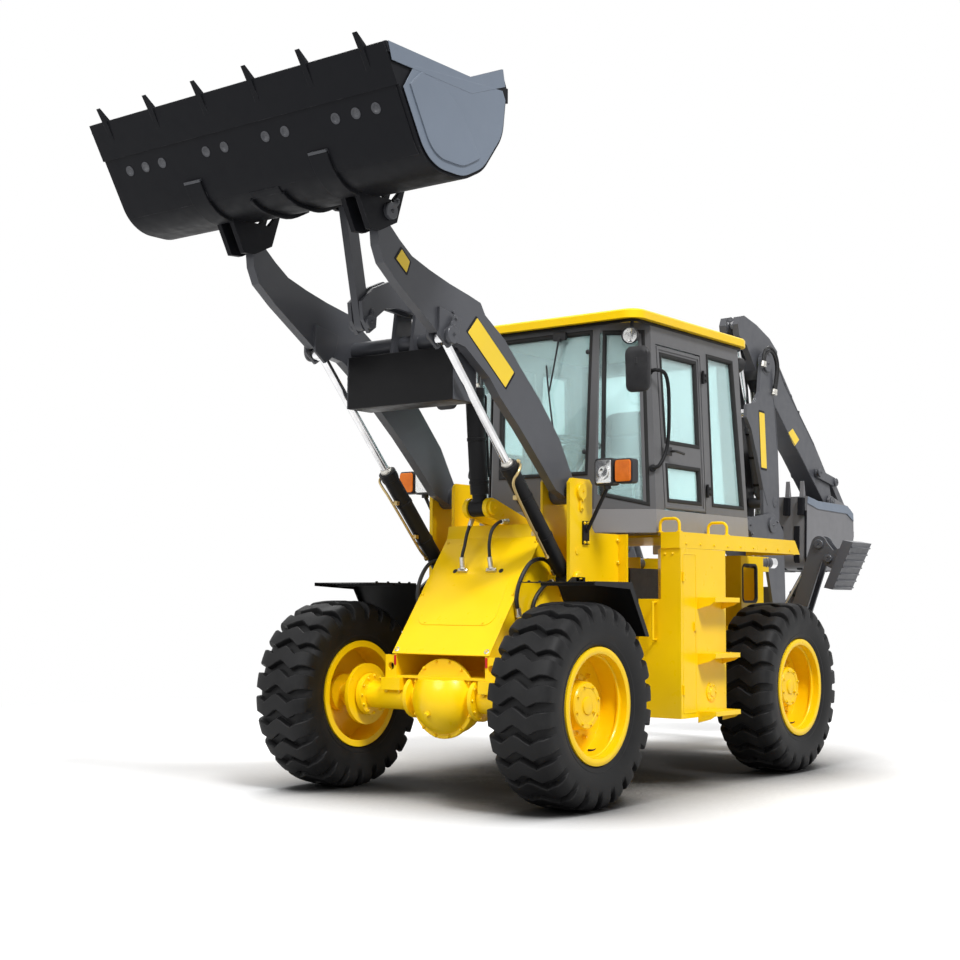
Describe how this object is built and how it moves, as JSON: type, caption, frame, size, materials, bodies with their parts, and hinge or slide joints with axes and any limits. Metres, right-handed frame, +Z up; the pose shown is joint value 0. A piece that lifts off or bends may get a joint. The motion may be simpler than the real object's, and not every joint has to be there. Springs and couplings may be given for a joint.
{
  "type": "backhoe loader",
  "caption": "Articulated four-wheel backhoe loader with a raised front loader bucket, an enclosed cab, a folded rear digging arm and two side stabilizers.",
  "frame": {"origin": "on the ground under the middle of the bounding box", "axes": "+Z up, -Y towards the loader bucket at the front, +X towards the machine's left side"},
  "size_m": [2.338, 7.6454, 3.9648],
  "materials": {
    "yellow_paint": "gloss",
    "charcoal_paint": "satin",
    "black_paint": "satin",
    "bucket_paint": "worn satin",
    "chrome_rod": "polished",
    "tyre_rubber": "matte",
    "black_plastic": "matte",
    "cab_glass": "tinted",
    "seat_cloth": "woven",
    "cast_metal": "painted"
  },
  "bodies": {
    "chassis": {"rear_frame": "charcoal_paint", "engine": "cast_metal", "rear_axle": "cast_metal", "side_boxes": "charcoal_paint", "deck": "charcoal_paint", "cab_base": "charcoal_paint", "cab_frame": "charcoal_paint", "cab_roof": "yellow_paint", "cab_glass": "cab_glass", "seat_base": "black_plastic", "seat_cushion": "seat_cloth", "seat_back": "seat_cloth", "dash": "black_plastic", "mirrors": "black_plastic"},
    "front": {"front_frame": "yellow_paint", "front_cover": "yellow_paint", "front_fenders": "black_paint", "headlamps": "black_plastic", "front_axle": "cast_metal"},
    "wheel_front_left": {"rim_front_left": "yellow_paint", "tyre_front_left": "tyre_rubber"},
    "wheel_front_right": {"rim_front_right": "yellow_paint", "tyre_front_right": "tyre_rubber"},
    "wheel_rear_left": {"rim_rear_left": "yellow_paint", "tyre_rear_left": "tyre_rubber"},
    "wheel_rear_right": {"rim_rear_right": "yellow_paint", "tyre_rear_right": "tyre_rubber"},
    "arms": {"loader_arms": "charcoal_paint"},
    "bucket": {"loader_bucket": "bucket_paint"},
    "rocker": {"bucket_rocker": "charcoal_paint"},
    "link": {"bucket_link": "charcoal_paint"},
    "lift_barrels": {"lift_barrels": "black_paint"},
    "lift_rods": {"lift_rods": "chrome_rod"},
    "tilt_barrel": {"tilt_barrel": "black_paint"},
    "tilt_rod": {"tilt_rod": "chrome_rod"},
    "door_left": {"door_left": "charcoal_paint", "door_glass_left": "cab_glass"},
    "door_right": {"door_right": "charcoal_paint", "door_glass_right": "cab_glass"},
    "steering_wheel": {"steering_wheel": "black_plastic"},
    "swing_post": {"swing_post": "charcoal_paint"},
    "boom": {"hoe_boom": "charcoal_paint"},
    "dipper": {"hoe_dipper": "charcoal_paint"},
    "hoe_bucket": {"hoe_bucket": "black_paint"},
    "hoe_rocker": {"hoe_rocker": "charcoal_paint"},
    "hoe_link": {"hoe_link": "charcoal_paint"},
    "boom_ram_barrel": {"boom_ram_barrel": "black_paint"},
    "boom_ram_rod": {"boom_ram_rod": "chrome_rod"},
    "dipper_ram_barrel": {"dipper_ram_barrel": "black_paint"},
    "dipper_ram_rod": {"dipper_ram_rod": "chrome_rod"},
    "bucket_ram_barrel": {"bucket_ram_barrel": "black_paint"},
    "bucket_ram_rod": {"bucket_ram_rod": "chrome_rod"},
    "stabilizer_leg_left": {"stabilizer_leg_left": "black_paint"},
    "stabilizer_pad_left": {"stabilizer_pad_left": "black_paint"},
    "stabilizer_barrel_left": {"stabilizer_barrel_left": "black_paint"},
    "stabilizer_rod_left": {"stabilizer_rod_left": "chrome_rod"},
    "stabilizer_leg_right": {"stabilizer_leg_right": "black_paint"},
    "stabilizer_pad_right": {"stabilizer_pad_right": "black_paint"},
    "stabilizer_barrel_right": {"stabilizer_barrel_right": "black_paint"},
    "stabilizer_rod_right": {"stabilizer_rod_right": "chrome_rod"}
  },
  "joints": [
    {"name": "steer", "type": "hinge", "parent": "chassis", "child": "front", "pos_m": [0, -0.5915, 0.85], "axis": [0, 0, 1], "range_deg": [-35, 35]},
    {"name": "front_left_spin", "type": "hinge", "parent": "front", "child": "wheel_front_left", "pos_m": [0.892, -1.88, 0.585], "axis": [1, 0, 0], "continuous": true},
    {"name": "front_right_spin", "type": "hinge", "parent": "front", "child": "wheel_front_right", "pos_m": [-0.892, -1.88, 0.585], "axis": [1, 0, 0], "continuous": true},
    {"name": "rear_left_spin", "type": "hinge", "parent": "chassis", "child": "wheel_rear_left", "pos_m": [0.892, 0.697, 0.585], "axis": [1, 0, 0], "continuous": true},
    {"name": "rear_right_spin", "type": "hinge", "parent": "chassis", "child": "wheel_rear_right", "pos_m": [-0.892, 0.697, 0.585], "axis": [1, 0, 0], "continuous": true},
    {"name": "loader_lift", "type": "hinge", "parent": "front", "child": "arms", "pos_m": [0, -1.28, 1.85], "axis": [1, 0, 0], "range_deg": [0, 78]},
    {"name": "loader_tilt", "type": "hinge", "parent": "arms", "child": "bucket", "pos_m": [0, -3.094, 3.239], "axis": [-1, 0, 0], "range_deg": [-90, 0]},
    {"name": "rocker_turn", "type": "hinge", "parent": "arms", "child": "rocker", "pos_m": [0, -2.25, 2.92], "axis": [-1, 0, 0], "range_deg": [0, 36]},
    {"name": "link_turn", "type": "hinge", "parent": "rocker", "child": "link", "pos_m": [0, -2.7, 2.75], "axis": [-1, 0, 0], "range_deg": [-72, 0]},
    {"name": "lift_ram_turn", "type": "hinge", "parent": "front", "child": "lift_barrels", "pos_m": [0, -1.32, 1.31], "axis": [1, 0, 0], "range_deg": [0, 75.54]},
    {"name": "lift_ram_slide", "type": "slide", "parent": "lift_barrels", "child": "lift_rods", "axis": [0, -0.6774, 0.7356], "range_m": [-0.67871, 0]},
    {"name": "tilt_ram_turn", "type": "hinge", "parent": "front", "child": "tilt_barrel", "pos_m": [0, -1.58, 1.75], "axis": [1, 0, 0], "range_deg": [0, 89.56]},
    {"name": "tilt_ram_slide", "type": "slide", "parent": "tilt_barrel", "child": "tilt_rod", "axis": [0, -0.0913, 0.9958], "range_m": [-0.34079, 0]},
    {"name": "door_left", "type": "hinge", "parent": "chassis", "child": "door_left", "pos_m": [0.75324, -0.037, 1.765], "axis": [-0.0379, 0, 0.9993], "range_deg": [0, 80]},
    {"name": "door_right", "type": "hinge", "parent": "chassis", "child": "door_right", "pos_m": [-0.75324, -0.037, 1.765], "axis": [-0.0379, 0, -0.9993], "range_deg": [0, 80]},
    {"name": "steering_wheel_turn", "type": "hinge", "parent": "chassis", "child": "steering_wheel", "pos_m": [0, -0.55, 2.215], "axis": [0, 0.1708, 0.9853], "range_deg": [-350, 350]},
    {"name": "swing", "type": "hinge", "parent": "chassis", "child": "swing_post", "pos_m": [0, 2.05, 0.9], "axis": [0, 0, 1], "range_deg": [-75, 75]},
    {"name": "hoe_boom", "type": "hinge", "parent": "swing_post", "child": "boom", "pos_m": [0, 2.12, 1.797], "axis": [-1, 0, 0], "range_deg": [0, 90]},
    {"name": "dipper_turn", "type": "hinge", "parent": "boom", "child": "dipper", "pos_m": [0, 2.112, 3.124], "axis": [1, 0, 0], "range_deg": [0, 80]},
    {"name": "hoe_bucket", "type": "hinge", "parent": "dipper", "child": "hoe_bucket", "pos_m": [0, 3.39, 2.06], "axis": [1, 0, 0], "range_deg": [0, 100]},
    {"name": "hoe_rocker_turn", "type": "hinge", "parent": "dipper", "child": "hoe_rocker", "pos_m": [0, 3.126, 2.296], "axis": [1, 0, 0], "range_deg": [0, 101]},
    {"name": "hoe_link_turn", "type": "hinge", "parent": "hoe_rocker", "child": "hoe_link", "pos_m": [0, 3.481, 2.238], "axis": [1, 0, 0], "range_deg": [-94, 0]},
    {"name": "boom_ram_turn", "type": "hinge", "parent": "swing_post", "child": "boom_ram_barrel", "pos_m": [0, 1.72, 1.78], "axis": [1, 0, 0], "range_deg": [-70.08, 0]},
    {"name": "boom_ram_slide", "type": "slide", "parent": "boom_ram_barrel", "child": "boom_ram_rod", "axis": [0, 0.099, 0.9951], "range_m": [0, 0.4194]},
    {"name": "dipper_ram_turn", "type": "hinge", "parent": "boom", "child": "dipper_ram_barrel", "pos_m": [0, 2.25, 1.99], "axis": [1, 0, 0], "range_deg": [0, 10.85]},
    {"name": "dipper_ram_slide", "type": "slide", "parent": "dipper_ram_barrel", "child": "dipper_ram_rod", "axis": [0, -0.2898, 0.9571], "range_m": [-0.47163, 0]},
    {"name": "bucket_ram_turn", "type": "hinge", "parent": "dipper", "child": "bucket_ram_barrel", "pos_m": [0, 2.36, 3.33], "axis": [1, 0, 0], "range_deg": [0, 2.48]},
    {"name": "bucket_ram_slide", "type": "slide", "parent": "bucket_ram_barrel", "child": "bucket_ram_rod", "axis": [0, 0.7163, -0.6978], "range_m": [-0.55243, 0]},
    {"name": "stabilizer_left", "type": "hinge", "parent": "chassis", "child": "stabilizer_leg_left", "pos_m": [0.526, 1.575, 0.68], "axis": [0, 1, 0], "range_deg": [0, 102]},
    {"name": "stabilizer_pad_turn_left", "type": "hinge", "parent": "stabilizer_leg_left", "child": "stabilizer_pad_left", "pos_m": [0.937, 1.575, 1.499], "axis": [0, 1, 0], "range_deg": [-38.25, 0]},
    {"name": "stabilizer_ram_left_turn", "type": "hinge", "parent": "chassis", "child": "stabilizer_barrel_left", "pos_m": [0.385, 1.575, 0.87], "axis": [0, 1, 0], "range_deg": [0, 93.31]},
    {"name": "stabilizer_ram_left_slide", "type": "slide", "parent": "stabilizer_barrel_left", "child": "stabilizer_rod_left", "axis": [0.5321, 0, 0.8467], "range_m": [0, 0.33321]},
    {"name": "stabilizer_right", "type": "hinge", "parent": "chassis", "child": "stabilizer_leg_right", "pos_m": [-0.526, 1.575, 0.68], "axis": [0, -1, 0], "range_deg": [0, 102]},
    {"name": "stabilizer_pad_turn_right", "type": "hinge", "parent": "stabilizer_leg_right", "child": "stabilizer_pad_right", "pos_m": [-0.937, 1.575, 1.499], "axis": [0, -1, 0], "range_deg": [-38.25, 0]},
    {"name": "stabilizer_ram_right_turn", "type": "hinge", "parent": "chassis", "child": "stabilizer_barrel_right", "pos_m": [-0.385, 1.575, 0.87], "axis": [0, -1, 0], "range_deg": [0, 93.31]},
    {"name": "stabilizer_ram_right_slide", "type": "slide", "parent": "stabilizer_barrel_right", "child": "stabilizer_rod_right", "axis": [-0.5321, 0, 0.8467], "range_m": [0, 0.33321]}
  ],
  "couplings": [
    {"joint": "rocker_turn", "follows": "loader_tilt", "ratio": -0.4},
    {"joint": "link_turn", "follows": "loader_tilt", "ratio": 0.8},
    {"joint": "lift_ram_turn", "follows": "loader_lift", "ratio": 0.96851},
    {"joint": "lift_ram_slide", "follows": "loader_lift", "m_per_rad": -0.49856},
    {"joint": "tilt_ram_turn", "follows": "loader_lift", "ratio": 1.1483},
    {"joint": "tilt_ram_slide", "follows": "loader_lift", "m_per_rad": -0.25033},
    {"joint": "steering_wheel_turn", "follows": "steer", "ratio": 10},
    {"joint": "dipper_turn", "follows": "hoe_boom", "ratio": 0.88889},
    {"joint": "hoe_rocker_turn", "follows": "hoe_bucket", "ratio": 1.01},
    {"joint": "hoe_link_turn", "follows": "hoe_bucket", "ratio": -0.94},
    {"joint": "boom_ram_turn", "follows": "hoe_boom", "ratio": -0.77862},
    {"joint": "boom_ram_slide", "follows": "hoe_boom", "m_per_rad": 0.267},
    {"joint": "dipper_ram_turn", "follows": "hoe_boom", "ratio": 0.12053},
    {"joint": "dipper_ram_slide", "follows": "hoe_boom", "m_per_rad": -0.30025},
    {"joint": "bucket_ram_turn", "follows": "hoe_bucket", "ratio": 0.024816},
    {"joint": "bucket_ram_slide", "follows": "hoe_bucket", "m_per_rad": -0.31652},
    {"joint": "stabilizer_pad_turn_left", "follows": "stabilizer_left", "ratio": -0.375},
    {"joint": "stabilizer_ram_left_turn", "follows": "stabilizer_left", "ratio": 0.91483},
    {"joint": "stabilizer_ram_left_slide", "follows": "stabilizer_left", "m_per_rad": 0.18717},
    {"joint": "stabilizer_pad_turn_right", "follows": "stabilizer_right", "ratio": -0.375},
    {"joint": "stabilizer_ram_right_turn", "follows": "stabilizer_right", "ratio": 0.91483},
    {"joint": "stabilizer_ram_right_slide", "follows": "stabilizer_right", "m_per_rad": 0.18717}
  ]
}
